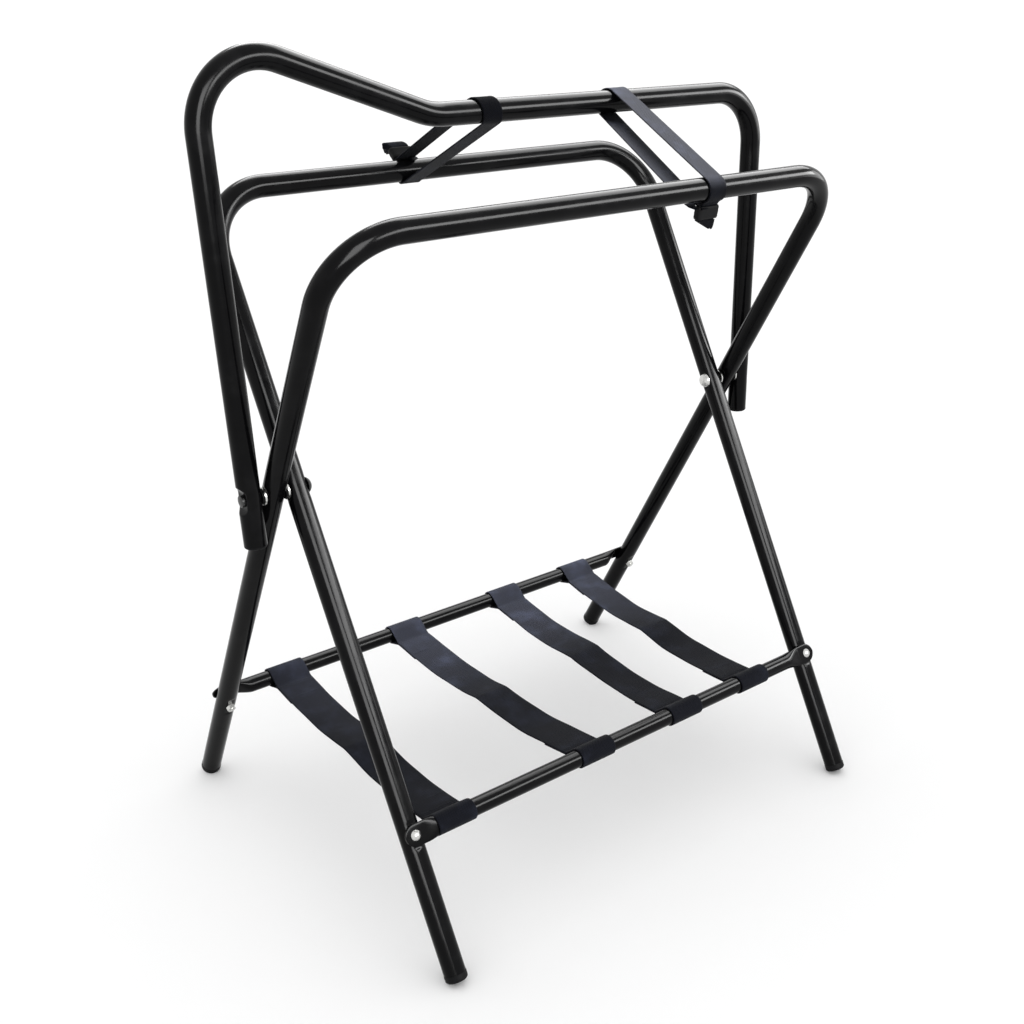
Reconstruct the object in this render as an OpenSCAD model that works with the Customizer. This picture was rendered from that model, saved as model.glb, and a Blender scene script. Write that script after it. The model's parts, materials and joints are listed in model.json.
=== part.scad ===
// Folding saddle rack in millimetres: two crossed leg frames, a bent saddle spine hung on their
// pivots, two shelf rails and webbing straps that stop the frames from opening further.
// The origin is on the floor under the middle of the rack. X runs along the spine with the raised
// pommel loop at -X, -Y is the side of the front shelf rail, and Z is up.

/* [Tubes] */
// Outside diameter of the frame tubes
tube_d = 25.4; // [24:0.1:26.4]
// Wall of the frame tubes
tube_wall = 1.2; // [1:0.1:1.6]
// Outside diameter of the shelf rails
rail_d = 20.6; // [18:0.1:22.2]
// Wall of the shelf rails
rail_wall = 1.2; // [0.9:0.1:1.5]

/* [Leg frames] */
// Height of the pivot axis above the floor
pivot_z = 500; // [460:1:540]
// Lean of each leg frame from the vertical
leg_angle = 29.2; // [26:0.1:32]
// Distance from the pivot axis up to the top bar
bar_reach = 335.6; // [320:0.1:345]
// Half the spacing of the outer frame's legs
outer_x = 349; // [330:1:370]
// Centre-line bend radius of the leg frames
leg_bend_r = 76; // [60:1:90]

/* [Spine] */
// Height of the spine's level bar above the floor
spine_z = 873; // [862:1:900]
// Length of spine leg below the pivot axis
spine_tail = 52; // [45:1:70]
// Outward lean of the spine leg under the pommel loop
pommel_lean = 1.8; // [1.2:0.1:2]
// Inward lean of the other spine leg
cantle_lean = 1; // [0.5:0.1:1.2]
// Distance from the middle of the rack to the foot of the pommel slope
slope_x = 126; // [110:1:140]
// Fall of the pommel slope towards the level bar
slope_angle = 19.3; // [15:0.1:23]
// Centre-line bend radius of the pommel loop and the far corner
spine_bend_r = 66; // [55:1:75]
// Centre-line bend radius at the foot of the slope
slope_bend_r = 90; // [60:1:140]

/* [Shelf rails] */
// Distance from the pivot axis down the leg to the rail
rail_drop = 400; // [370:1:430]
// Distance of the rail axis from the plane of its leg frame
rail_offset = 9; // [8:0.1:9.5]
// Width of the flattened rail end
tongue_w = 25; // [23:0.5:27]
// Thickness of the flattened rail end
tongue_t = 3; // [2.4:0.1:3.6]
// Depth of the flat on the leg under the rail end
rail_seat = 0.8; // [0.5:0.1:1.2]

/* [Pivots] */
// Diameter of the pivot bolts
pivot_bolt_d = 8; // [7:0.1:9]
// Diameter of the low bolt head in the spine's dimple
pivot_head_d = 13; // [12:0.5:15]
// Thickness of the low bolt head
pivot_head_t = 3.6; // [2.5:0.1:4.5]
// Diameter of the domed cap nut on the inner frame
cap_nut_d = 19; // [16:0.5:20]
// Height of the domed cap nut
cap_nut_h = 6.5; // [5:0.1:8]
// Diameter of the steel pivot washers
washer_d = 20; // [18:0.5:21]
// Thickness of the steel pivot washers
washer_t = 2; // [1.6:0.1:2.4]
// Diameter of the nylon pivot washers
nylon_d = 17; // [15:0.5:18]
// Thickness of the nylon pivot washers
nylon_t = 2; // [1.6:0.1:2.4]
// Depth of the dimple for the bolt head in the spine leg
dimple_depth = 5; // [4:0.1:5.5]
// Depth of the washer seat on the inside of the spine leg
spine_seat = 1; // [0.8:0.1:1.2]
// Depth of the washer seats on the leg frames
leg_seat = 1; // [0.8:0.1:1.2]

/* [Fasteners] */
// Diameter of the rail bolts
rail_bolt_d = 6; // [5:0.1:6.5]
// Diameter of the domed rail bolt heads
rail_head_d = 12; // [11:0.5:14]
// Height of the domed rail bolt heads
rail_head_h = 3.4; // [2.5:0.1:4.5]
// Width across the corners of the rail nuts
rail_nut_d = 11.5; // [10:0.1:12]
// Height of the rail nuts
rail_nut_h = 5; // [4:0.1:6]

/* [Caps] */
// How far a foot cap stands out beyond its leg all round
foot_lip = 0.3; // [0.1:0.1:0.6]
// Thickness of a foot cap beyond the end of its leg
foot_h = 9; // [8:0.5:14]
// Edge rounding of a foot cap
foot_round = 4; // [3:0.5:5]
// How much of a foot cap is worn flat on the floor
foot_flat = 1.2; // [0.8:0.1:1.6]
// Thickness of a spine plug beyond the end of its leg
plug_h = 3; // [2.5:0.5:5]
// Edge rounding of a spine plug
plug_round = 2; // [1:0.5:2]
// Length of cap stem inside the tube
stem_len = 22; // [14:1:30]

/* [Straps] */
// Width of the shelf straps
shelf_strap_w = 50.8; // [45:0.2:60]
// Thickness of the shelf straps
shelf_strap_t = 1.8; // [1.2:0.1:2.4]
// Distance of the first shelf strap from the middle of the rack
shelf_strap_1_x = -257; // [-260:1:-200]
// Distance of the second shelf strap from the middle of the rack
shelf_strap_2_x = -65; // [-100:1:-40]
// Distance of the third shelf strap from the middle of the rack
shelf_strap_3_x = 97; // [60:1:130]
// Distance of the fourth shelf strap from the middle of the rack
shelf_strap_4_x = 228; // [200:1:250]
// Distance from a rail's axis to the seam that closes a strap's loop
seam_reach = 21; // [18:0.5:26]
// Length of strap sewn back under itself behind the seam
sewn_back = 42; // [25:1:60]
// Angle at which a shelf strap's loop points down to its seam
strap_dip = 10; // [4:0.5:14]
// Depth of the two sags of a shelf strap beside its fold crease
strap_sag = 7; // [3:0.5:12]
// Width of the tie straps
tie_w = 25.4; // [20:0.2:38]
// Thickness of the tie straps
tie_t = 1.8; // [1.2:0.1:2.4]
// Distance of the rear tie strap from the middle of the rack
rear_tie_x = -49; // [-80:1:-30]
// Distance of the front tie strap from the middle of the rack
front_tie_x = 133; // [100:1:180]
// Free length of the rear tie strap's tail
rear_tail = 36; // [30:1:50]
// Free length of the front tie strap's tail
front_tail = 28; // [25:1:45]
// Wall of the strap sliders
slider_wall = 2.6; // [2:0.1:3.5]
// Length of the strap sliders along the tail
slider_len = 15; // [10:1:20]

/* [Fits] */
// Radial running clearance of the pivot bolts
run_clear = 0.05; // [0.03:0.01:0.08]
// Side clearance of the parts that turn on the pivots
side_clear = 0.2; // [0.15:0.05:0.3]
// Radial clearance of the cap stems in the tubes
stem_clear = 0.1; // [0.05:0.05:0.2]
// Clearance of the straps round the tubes
strap_clear = 0.5; // [0.4:0.1:0.8]

/* [Hidden] */
$fn = 64;

paint = [0.05, 0.05, 0.06];
webbing = [0.10, 0.10, 0.11];
plastic = [0.07, 0.07, 0.07];
zinc = [0.75, 0.75, 0.74];

tube_r = tube_d / 2;
bore_r = tube_r - tube_wall;
rail_r = rail_d / 2;
pivot_r = pivot_bolt_d / 2;
rail_bolt_r = rail_bolt_d / 2;
foot_r = tube_r + foot_lip;

// Spacing of the three tubes along each pivot, from the washer stack between two seats
stack = steel_and_nylon() + side_clear;
inner_x = outer_x - tube_d + 2 * leg_seat - stack;
spine_x = outer_x + tube_d - leg_seat - spine_seat + stack;

// Height of a leg's end, so that the worn foot cap stands on the floor
leg_end_z = foot_flat_z() + foot_h * cos(leg_angle);
leg_len = (pivot_z - leg_end_z) / cos(leg_angle);

// Places of the bars and rails seen along the rack
bar_y = bar_reach * sin(leg_angle);
bar_z = pivot_z + bar_reach * cos(leg_angle);
rail_y = rail_drop * sin(leg_angle) + rail_offset * cos(leg_angle);
rail_z = pivot_z - rail_drop * cos(leg_angle) + rail_offset * sin(leg_angle);

// Spine path in its own upright plane, as distance along the rack and height
pommel_top = pommel_corner();
spine_left = [leg_line(-1, pivot_z - spine_tail), pivot_z - spine_tail];
spine_right = [leg_line(1, pivot_z - spine_tail), pivot_z - spine_tail];
spine_path = [spine_left, pommel_top, [-slope_x, spine_z], [leg_line(1, spine_z), spine_z], spine_right];
spine_bends = [spine_bend_r, slope_bend_r, spine_bend_r];

// Shift that puts the middle of the whole rack, loop included, on the origin
loop_reach = -bend_centre(spine_path, 1, spine_bend_r).x + spine_bend_r + tube_r;
plug_reach = leg_line(1, pivot_z - spine_tail - plug_h) + tube_r;
mid_x = (loop_reach - plug_reach) / 2;

// Flattened rail end: where the round tube stops and the flat tongue starts
crush_x = 34;
tongue_x = 15;
seat_y = tube_r - rail_seat;

// Rounding at the ends of pressed seats and dimples
seat_round = 5;
dimple_round = 9;

// Number of straight steps in each piece of a sagging strap
sag_steps = 24;

// Length and extra diameter of the bands at the seams of the leaning spine
spine_band = 2;
band_rise = 0.2;

function steel_and_nylon() = washer_t + nylon_t;

// Height of a foot cap's end face centre when its rounded edge is cut flat at the floor
function foot_flat_z() =
    foot_round * (1 - cos(leg_angle)) + (foot_r - foot_round) * sin(leg_angle) - foot_flat;

// Distance along the rack of a leaning spine leg at a height
function leg_line(side, z) =
    side < 0 ? -spine_x - (z - pivot_z) * tan(pommel_lean) : spine_x - (z - pivot_z) * tan(cantle_lean);

// Point where the leaning leg would meet the pommel slope
function pommel_corner() =
    let (rise = tan(slope_angle), lean = tan(pommel_lean),
         z = (spine_z + rise * (spine_x - slope_x - lean * pivot_z)) / (1 - rise * lean))
    [leg_line(-1, z), z];

// Bend geometry of a flat path: unit direction, signed turn, tangent length and arc centre
function unit(v) = v / norm(v);
function dir(path, i) = unit(path[i + 1] - path[i]);
function turn(path, i) =
    let (u = dir(path, i - 1), v = dir(path, i)) atan2(u.x * v.y - u.y * v.x, u * v);
function tangent(path, i, r) = r * tan(abs(turn(path, i)) / 2);
function bend_start(path, i, r) = path[i] - dir(path, i - 1) * tangent(path, i, r);
function bend_end(path, i, r) = path[i] + dir(path, i) * tangent(path, i, r);
function left_of(v) = [-v.y, v.x];
function bend_centre(path, i, r) =
    bend_start(path, i, r) + left_of(dir(path, i - 1)) * r * sign(turn(path, i));

// U-shaped path of a leg frame in its own plane, measured from the pivot axis
function leg_path(half_x, extra) =
    [[-half_x, -leg_len - extra], [-half_x, bar_reach], [half_x, bar_reach], [half_x, -leg_len - extra]];

// Band round a seam of straight and bend, centred on it; a length of 0 leaves it out
module seam_band(length, d) {
    if (length > 0) cylinder(h = length, d = d + band_rise, center = true);
}

// Round rod along a flat path in the XZ plane, with one radius for each bend. Where a path leans,
// a band a hair thicker than the rod bridges every seam of straight and bend, so that they fuse.
module bent_rod(path, bends, d, band = 0) {
    last = len(path) - 1;
    for (i = [0 : last - 1]) {
        p = i == 0 ? path[0] : bend_end(path, i, bends[i - 1]);
        q = i == last - 1 ? path[last] : bend_start(path, i + 1, bends[i]);
        run = norm(q - p);
        start = i == 0 ? 0 : band / 4;
        stop = i == last - 1 ? run : run - band / 4;
        translate([p.x, 0, p.y]) rotate([0, atan2(q.x - p.x, q.y - p.y), 0]) {
            translate([0, 0, start]) cylinder(h = stop - start, d = d);
            if (i > 0) seam_band(band, d);
            if (i < last - 1) translate([0, 0, run]) seam_band(band, d);
        }
    }
    for (i = [1 : last - 1]) {
        r = bends[i - 1];
        c = bend_centre(path, i, r);
        first = turn(path, i) > 0 ? bend_start(path, i, r) : bend_end(path, i, r);
        translate([c.x, 0, c.y]) rotate([90, 0, 0]) rotate([0, 0, atan2(first.y - c.y, first.x - c.x)])
            rotate_extrude(angle = abs(turn(path, i))) translate([r, 0]) circle(d = d);
    }
}

// Pressed flat across a tube, facing +X at the tube's side; grow thickens it for the inner wall
module press(depth, flat, round, grow) {
    translate([tube_r - depth, 0, 0]) rotate([0, -90, -90])
        linear_extrude(2 * tube_d, center = true) {
            translate([-flat / 2, -grow]) square([flat, round + grow]);
            for (side = [-1, 1]) translate([side * flat / 2, round]) circle(round + grow);
        }
}

// Bore across the rack through both pivots
module pivot_bores(clear) {
    rotate([0, 90, 0]) cylinder(h = 4 * outer_x, r = pivot_r + clear, center = true);
}

// Pressed flats of a leg frame: washer seats at the pivots, rail and nut seats on the legs
module leg_presses(half_x, grow) {
    for (leg = [-1, 1]) {
        for (turned = [0, 180]) {
            translate([leg * half_x, 0, 0]) rotate([0, 0, turned])
                press(leg_seat, washer_d + 1, seat_round, grow);
            translate([leg * half_x, 0, -rail_drop]) rotate([0, 0, 90 + turned])
                press(rail_seat, tongue_w + 1, seat_round, grow);
        }
    }
}

// Bent leg frame in its own plane, pivot axis at the origin
module leg_frame(half_x) {
    bends = [leg_bend_r, leg_bend_r];
    difference() {
        bent_rod(leg_path(half_x, 0), bends, tube_d);
        difference() {
            bent_rod(leg_path(half_x, 1), bends, 2 * bore_r);
            leg_presses(half_x, tube_wall);
        }
        leg_presses(half_x, 0);
        pivot_bores(run_clear);
        at_rail_ends(half_x) rotate([90, 0, 0]) cylinder(h = 2 * tube_d, r = rail_bolt_r, center = true);
    }
}

// Places a frame part: the outer frame leans to -Y at the top, the inner frame to +Y
module on_pivot() { translate([mid_x, 0, pivot_z]) children(); }
module on_outer() { on_pivot() rotate([leg_angle, 0, 0]) children(); }
module on_inner() { on_pivot() rotate([-leg_angle, 0, 0]) mirror([0, 1, 0]) children(); }

// Puts a part at both ends of the rack, the second one mirrored
module both_ends(x) { for (end = [0, 1]) mirror([end, 0, 0]) translate([x, 0, 0]) children(); }

// Puts a part on both legs of a frame at the height of its rail
module at_rail_ends(half_x) { both_ends(half_x) translate([0, 0, -rail_drop]) children(); }

module outer_leg_frame() { color(paint) on_outer() leg_frame(outer_x); }
module inner_leg_frame() { color(paint) on_inner() leg_frame(inner_x); }

// Pressed flats of the spine legs: a deep dimple outside for the bolt head, a washer seat inside
module spine_presses(grow) {
    both_ends(spine_x) {
        press(dimple_depth, pivot_head_d + 1, dimple_round, grow);
        mirror([1, 0, 0]) press(spine_seat, washer_d + 1, seat_round, grow);
    }
}

// Spine path lengthened at its open ends, so that the tube's bore runs out of them
function open_path(extra) =
    [for (i = [0 : 4]) i == 0 ? spine_path[0] - dir(spine_path, 0) * extra :
                       i == 4 ? spine_path[4] + dir(spine_path, 3) * extra : spine_path[i]];

module spine_tube() {
    color(paint) translate([mid_x, 0, 0]) difference() {
        bent_rod(spine_path, spine_bends, tube_d, spine_band);
        difference() {
            bent_rod(open_path(1), spine_bends, 2 * bore_r, spine_band);
            translate([0, 0, pivot_z]) spine_presses(tube_wall);
        }
        translate([0, 0, pivot_z]) {
            spine_presses(0);
            pivot_bores(run_clear);
        }
    }
}

// Flat tongue of a rail end in the leg's plane, round at its tip and centred on the bolt
module tongue(x) {
    translate([0, seat_y + tongue_t, 0]) rotate([90, 0, 0]) linear_extrude(tongue_t) {
        translate([x, 0]) circle(d = tongue_w);
        translate([x - tongue_x, -tongue_w / 2]) square([tongue_x, tongue_w]);
    }
}

// Taper where the round rail is crushed into its flat tongue
module crushed_end(x) {
    hull() {
        translate([x - crush_x, rail_offset, 0]) rotate([0, 90, 0]) cylinder(h = 0.5, d = rail_d, $fn = 48);
        translate([x - tongue_x, seat_y, -tongue_w / 2]) cube([0.5, tongue_t, tongue_w]);
    }
}

// Shelf rail on the outer face of its leg frame, in the frame's own plane
module rail(half_x) {
    difference() {
        union() {
            translate([0, rail_offset, -rail_drop]) rotate([0, 90, 0])
                cylinder(h = 2 * (half_x - crush_x), d = rail_d, center = true);
            for (end = [0, 1]) mirror([end, 0, 0]) translate([0, 0, -rail_drop]) {
                crushed_end(half_x);
                tongue(half_x);
            }
        }
        translate([0, rail_offset, -rail_drop]) rotate([0, 90, 0])
            cylinder(h = 2 * (half_x - crush_x) - 4, r = rail_r - rail_wall, center = true);
        at_rail_ends(half_x) rotate([-90, 0, 0]) cylinder(h = 2 * tube_d, r = rail_bolt_r);
    }
}

module front_rail() { color(paint) on_inner() rail(inner_x); }
module rear_rail() { color(paint) on_outer() rail(outer_x); }

// Dome of a given base diameter and height standing on the XY plane
module dome(d, h) {
    ball_r = (d * d / 4 + h * h) / (2 * h);
    intersection() {
        translate([0, 0, h - ball_r]) sphere(ball_r);
        cylinder(h = h + 1, d = d + 1);
    }
}

// Domed bolt through a rail tongue and its leg, and the nut on the far side of the leg
module rail_bolt() {
    rotate([-90, 0, 0]) {
        translate([0, 0, -seat_y - rail_nut_h - 1])
            cylinder(h = 2 * seat_y + tongue_t + rail_nut_h + 1.5, r = rail_bolt_r);
        translate([0, 0, seat_y + tongue_t]) dome(rail_head_d, rail_head_h);
    }
}

module rail_nut() {
    rotate([90, 0, 0]) translate([0, 0, seat_y]) difference() {
        cylinder(h = rail_nut_h, d = rail_nut_d, $fn = 6);
        translate([0, 0, -1]) cylinder(h = rail_nut_h + 2, r = rail_bolt_r);
    }
}

module front_rail_bolts() { color(zinc) on_inner() at_rail_ends(inner_x) rail_bolt(); }
module front_rail_nuts() { color(zinc) on_inner() at_rail_ends(inner_x) rail_nut(); }
module rear_rail_bolts() { color(zinc) on_outer() at_rail_ends(outer_x) rail_bolt(); }
module rear_rail_nuts() { color(zinc) on_outer() at_rail_ends(outer_x) rail_nut(); }

// Faces along a pivot at the +X end, measured from the middle of the rack
head_face = spine_x + tube_r - dimple_depth + side_clear;
nut_face = inner_x - tube_r + leg_seat;
shank_end = nut_face - cap_nut_h / 2;
outer_face = outer_x + tube_r - leg_seat;
inner_face = inner_x + tube_r - leg_seat;

// Plain disc with a bore, its axis along X, from a face outwards
module ring_at(x, t, d, bore) {
    translate([x, 0, 0]) rotate([0, 90, 0]) difference() {
        cylinder(h = t, d = d);
        translate([0, 0, -1]) cylinder(h = t + 2, r = bore);
    }
}

// Pivot bolt at the +X end: low head in the dimple, shank through to the cap nut
module pivot_bolt() {
    rotate([0, 90, 0]) {
        translate([0, 0, shank_end]) cylinder(h = head_face + 1 - shank_end, r = pivot_r);
        translate([0, 0, head_face]) cylinder(h = pivot_head_t - 1, d = pivot_head_d);
        translate([0, 0, head_face + pivot_head_t - 1]) dome(pivot_head_d, 1);
    }
}

// Domed cap nut on the inside of the inner frame at the +X end
module cap_nut() {
    translate([nut_face, 0, 0]) rotate([0, -90, 0]) difference() {
        dome(cap_nut_d, cap_nut_h);
        translate([0, 0, -1]) cylinder(h = cap_nut_h / 2 + 1, r = pivot_r);
    }
}

module pivot_bolt_left() { color(plastic) on_pivot() mirror([1, 0, 0]) pivot_bolt(); }
module pivot_bolt_right() { color(plastic) on_pivot() pivot_bolt(); }
module cap_nut_left() { color(plastic) on_pivot() mirror([1, 0, 0]) cap_nut(); }
module cap_nut_right() { color(zinc) on_pivot() cap_nut(); }

module outer_steel_washers() {
    color(zinc) on_pivot() both_ends(0) ring_at(outer_face, washer_t, washer_d, pivot_r + run_clear);
}
module outer_nylon_washers() {
    color(plastic) on_pivot() both_ends(washer_t) ring_at(outer_face, nylon_t, nylon_d, pivot_r + run_clear);
}
module inner_steel_washers() {
    color(zinc) on_pivot() both_ends(0) ring_at(inner_face, washer_t, washer_d, pivot_r);
}
module inner_nylon_washers() {
    color(plastic) on_pivot() both_ends(washer_t) ring_at(inner_face, nylon_t, nylon_d, pivot_r);
}

// Plastic cap on a tube end: stem up into the tube, head below with a rounded edge
module tube_cap(head_r, head_h, round) {
    cylinder(h = stem_len, r = bore_r - stem_clear);
    translate([0, 0, -head_h]) rotate_extrude() intersection() {
        square([head_r, head_h]);
        union() {
            square([head_r - round, head_h]);
            translate([0, round]) square([head_r, head_h]);
            translate([head_r - round, round]) circle(round);
        }
    }
}

// Foot caps, cut flat where they stand on the floor
module above_floor() {
    difference() {
        children();
        translate([-2 * outer_x, -2 * outer_x, -50]) cube([4 * outer_x, 4 * outer_x, 50]);
    }
}
module foot(x) { translate([x, 0, -leg_len]) tube_cap(foot_r, foot_h, foot_round); }

module outer_foot_left() { color(plastic) above_floor() on_outer() foot(-outer_x); }
module outer_foot_right() { color(plastic) above_floor() on_outer() foot(outer_x); }
module inner_foot_left() { color(plastic) above_floor() on_inner() foot(-inner_x); }
module inner_foot_right() { color(plastic) above_floor() on_inner() foot(inner_x); }

module spine_plug_left() {
    color(plastic) translate([mid_x + spine_left.x, 0, spine_left.y]) rotate([0, -pommel_lean, 0])
        tube_cap(tube_r, plug_h, plug_round);
}
module spine_plug_right() {
    color(plastic) translate([mid_x + spine_right.x, 0, spine_right.y]) rotate([0, -cantle_lean, 0])
        tube_cap(tube_r, plug_h, plug_round);
}

// Extrudes a strap's side view, drawn as distance from front to rear and height, across its width
module webbing_strip(x, w) {
    translate([mid_x + x - w / 2, 0, 0]) rotate([90, 0, 90]) linear_extrude(w) children();
}

// Seams of a shelf strap: half the distance between them and their height
half_span = rail_y - seam_reach * cos(strap_dip);
seam_z = rail_z - seam_reach * sin(strap_dip);

// Middle line of a shelf strap: two shallow sags with the crease of the folded rack between them
function sag_line(y) = seam_z - strap_sag * abs(sin(180 * y / half_span));

// Drop-shaped loop with its tip towards the strap: a circle and a kite that narrows to the tip,
// a little slimmer than the circle's tangents, so that the two cross cleanly
module loop_drop(r, reach) {
    neck = 0.97 * r;
    touch = acos(neck / reach);
    circle(r);
    polygon([[0, 0], neck * [cos(touch), sin(touch)], [reach, 0], neck * [cos(touch), -sin(touch)]]);
}

module at_rails() {
    for (side = [0, 1]) mirror([side, 0]) translate([-rail_y, rail_z]) rotate(-strap_dip) children();
}

// Piece of the sagging strap between two depths below its middle line, from a distance to a distance
module sag_band(top, bottom, from, to) {
    along = [for (i = [0 : sag_steps]) from + (to - from) * i / sag_steps];
    back = [for (i = [0 : sag_steps]) along[sag_steps - i]];
    polygon(concat([for (y = along) [y, sag_line(y) - top]], [for (y = back) [y, sag_line(y) - bottom]]));
}

// Shelf strap: a loop round each rail, sewn back under the sagging band between them
module shelf_strap(x) {
    loop_r = rail_r + strap_clear;
    layer = shelf_strap_t;
    end = half_span + layer;
    sewn = half_span - sewn_back;
    color(webbing) difference() {
        union() {
            webbing_strip(x, shelf_strap_w)
                at_rails() loop_drop(loop_r + layer, seam_reach * (1 + layer / loop_r));
            webbing_strip(x, shelf_strap_w) sag_band(-layer / 2, layer / 2, -end, end);
            webbing_strip(x, shelf_strap_w) sag_band(0, 1.5 * layer, -end, -sewn);
            webbing_strip(x, shelf_strap_w) sag_band(0, 1.5 * layer, sewn, end);
        }
        webbing_strip(x, shelf_strap_w + 2) at_rails() loop_drop(loop_r, seam_reach);
    }
}
module shelf_strap_1() { shelf_strap(shelf_strap_1_x); }
module shelf_strap_2() { shelf_strap(shelf_strap_2_x); }
module shelf_strap_3() { shelf_strap(shelf_strap_3_x); }
module shelf_strap_4() { shelf_strap(shelf_strap_4_x); }

// Side view of a loop round two equal circles a distance apart along the first axis
module belt(length, r) {
    circle(r);
    translate([length, 0]) circle(r);
    translate([0, -r]) square([length, 2 * r]);
}

// Tie strap: a belt round the spine and one top bar, with its doubled tail hanging off the bar
tie_r = tube_r + strap_clear;
tie_len = norm([bar_y, spine_z - bar_z]);
tie_fall = atan2(spine_z - bar_z, bar_y);
rear_tail_angle = 38;
front_tail_angle = -95;

module at_bar(side, angle) { translate([side * bar_y, bar_z]) rotate(angle) children(); }

// Loop from the spine down to the bar on one side
module tie_loop(side, r) {
    translate([0, spine_z]) rotate(side > 0 ? -tie_fall : tie_fall - 180) belt(tie_len, r);
}

module tie_profile(side, tail, tail_angle) {
    difference() {
        union() {
            tie_loop(side, tie_r + tie_t);
            at_bar(side, tail_angle) translate([tie_r, -tie_t]) square([tie_t + tail, 2 * tie_t]);
        }
        tie_loop(side, tie_r);
    }
}

// Slider: a flat plastic sleeve gripping the doubled tail just off the bar
module slider(side, x, tail_angle) {
    tall = 2 * (tie_t + slider_wall);
    difference() {
        webbing_strip(x, tie_w + 2 * slider_wall)
            at_bar(side, tail_angle) translate([tie_r + 8, -tall / 2]) square([slider_len, tall]);
        webbing_strip(x, tie_w)
            at_bar(side, tail_angle) translate([tie_r + 6, -tie_t]) square([slider_len + 4, 2 * tie_t]);
    }
}

module rear_tie_strap() {
    color(webbing) webbing_strip(rear_tie_x, tie_w) tie_profile(1, rear_tail, rear_tail_angle);
}
module front_tie_strap() {
    color(webbing) webbing_strip(front_tie_x, tie_w) tie_profile(-1, front_tail, front_tail_angle);
}
module rear_slider() { color(plastic) slider(1, rear_tie_x, rear_tail_angle); }
module front_slider() { color(plastic) slider(-1, front_tie_x, front_tail_angle); }

outer_leg_frame();
inner_leg_frame();
spine_tube();
front_rail();
rear_rail();
outer_foot_left();
outer_foot_right();
inner_foot_left();
inner_foot_right();
spine_plug_left();
spine_plug_right();
pivot_bolt_left();
pivot_bolt_right();
cap_nut_left();
cap_nut_right();
outer_steel_washers();
outer_nylon_washers();
inner_steel_washers();
inner_nylon_washers();
front_rail_bolts();
front_rail_nuts();
rear_rail_bolts();
rear_rail_nuts();
shelf_strap_1();
shelf_strap_2();
shelf_strap_3();
shelf_strap_4();
rear_tie_strap();
front_tie_strap();
rear_slider();
front_slider();
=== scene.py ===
"""Looks of a folding saddle rack: enamelled tubes, webbing straps, plastic and plated fittings.

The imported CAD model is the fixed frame. Everything is in metres, in the frame of the part: X runs
along the spine with the pommel loop at -X, -Y is the side of the front shelf rail, and Z is up.
"""
import json
import math

import bpy
import numpy as np
from bpy.props import FloatProperty, FloatVectorProperty, PointerProperty
from bpy.types import Operator, Panel, PropertyGroup
from mathutils import Matrix, Vector

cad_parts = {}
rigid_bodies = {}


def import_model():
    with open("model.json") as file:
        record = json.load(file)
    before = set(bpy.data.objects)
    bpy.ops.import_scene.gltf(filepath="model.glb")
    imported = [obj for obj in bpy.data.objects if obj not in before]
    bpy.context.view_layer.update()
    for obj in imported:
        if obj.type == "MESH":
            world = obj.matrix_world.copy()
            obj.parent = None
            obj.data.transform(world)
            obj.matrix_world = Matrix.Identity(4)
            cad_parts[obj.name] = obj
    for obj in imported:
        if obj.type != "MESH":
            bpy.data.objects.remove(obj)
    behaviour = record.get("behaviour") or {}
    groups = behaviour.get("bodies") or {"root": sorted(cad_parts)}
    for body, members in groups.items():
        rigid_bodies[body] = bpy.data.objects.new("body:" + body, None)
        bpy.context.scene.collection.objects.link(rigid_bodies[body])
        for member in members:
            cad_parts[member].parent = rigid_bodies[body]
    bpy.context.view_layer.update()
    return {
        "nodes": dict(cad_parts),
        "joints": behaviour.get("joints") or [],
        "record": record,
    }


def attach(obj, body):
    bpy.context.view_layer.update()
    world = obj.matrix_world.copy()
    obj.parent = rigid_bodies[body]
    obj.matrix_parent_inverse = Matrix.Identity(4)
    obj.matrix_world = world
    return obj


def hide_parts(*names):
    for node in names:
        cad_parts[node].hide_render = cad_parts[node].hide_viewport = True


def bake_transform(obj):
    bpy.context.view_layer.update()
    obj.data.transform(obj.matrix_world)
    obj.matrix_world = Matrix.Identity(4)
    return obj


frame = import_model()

bl_info = {
    "name": "Folding saddle rack",
    "version": (1, 0, 0),
    "blender": (4, 5, 0),
    "location": "3D View > Sidebar > Saddle rack",
    "description": "Dresses the packed saddle rack with tubes, straps, fittings and a studio stage",
    "category": "Object",
}

PIVOT = np.array(frame["joints"][0]["pos_m"])
MM = 0.001
X_AXIS = np.array([1.0, 0.0, 0.0])

# Depth, flat length and end rounding of the places pressed into the tubes
WASHER_SEAT = (1 * MM, 21 * MM, 5 * MM)
RAIL_SEAT = (0.8 * MM, 26 * MM, 5 * MM)
BOLT_DIMPLE = (5 * MM, 14 * MM, 9 * MM)

# Each shelf strap's front and rear end from the middle of the rack, and the drop of its fold crease
SHELF_STRAPS = {
    "shelf_strap_1": (-0.2690, -0.2580, 0.0020),
    "shelf_strap_2": (-0.0620, -0.0685, 0.0065),
    "shelf_strap_3": (0.0870, 0.1075, 0.0020),
    "shelf_strap_4": (0.2120, 0.2455, 0.0040),
}

# Each tie strap's sideways shift on the spine and the bar above, on both below, and at its tail
TIE_SKEW = {
    "rear": np.array([-8, -1, 0, 0, 6]) * MM,
    "front": np.array([-2, -9, -11, -23, -6]) * MM,
}

# How far each tie strap hangs off the bar from below, and the gap between its loop and its slider
TIE_SLACK = {"rear": 0.0, "front": 4 * MM}
SLIDER_GAP = 4 * MM

# Step of the points along a strip, and how far its corners are rounded
SHELF_STEP, SHELF_BLUR = 1.6 * MM, 1.4 * MM
TIE_STEP, TIE_BLUR = 1.5 * MM, 1.3 * MM

# Steps of the weave along and across the webbing
YARN_PITCH, ROW_PITCH = 2.3 * MM, 1.25 * MM

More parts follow.
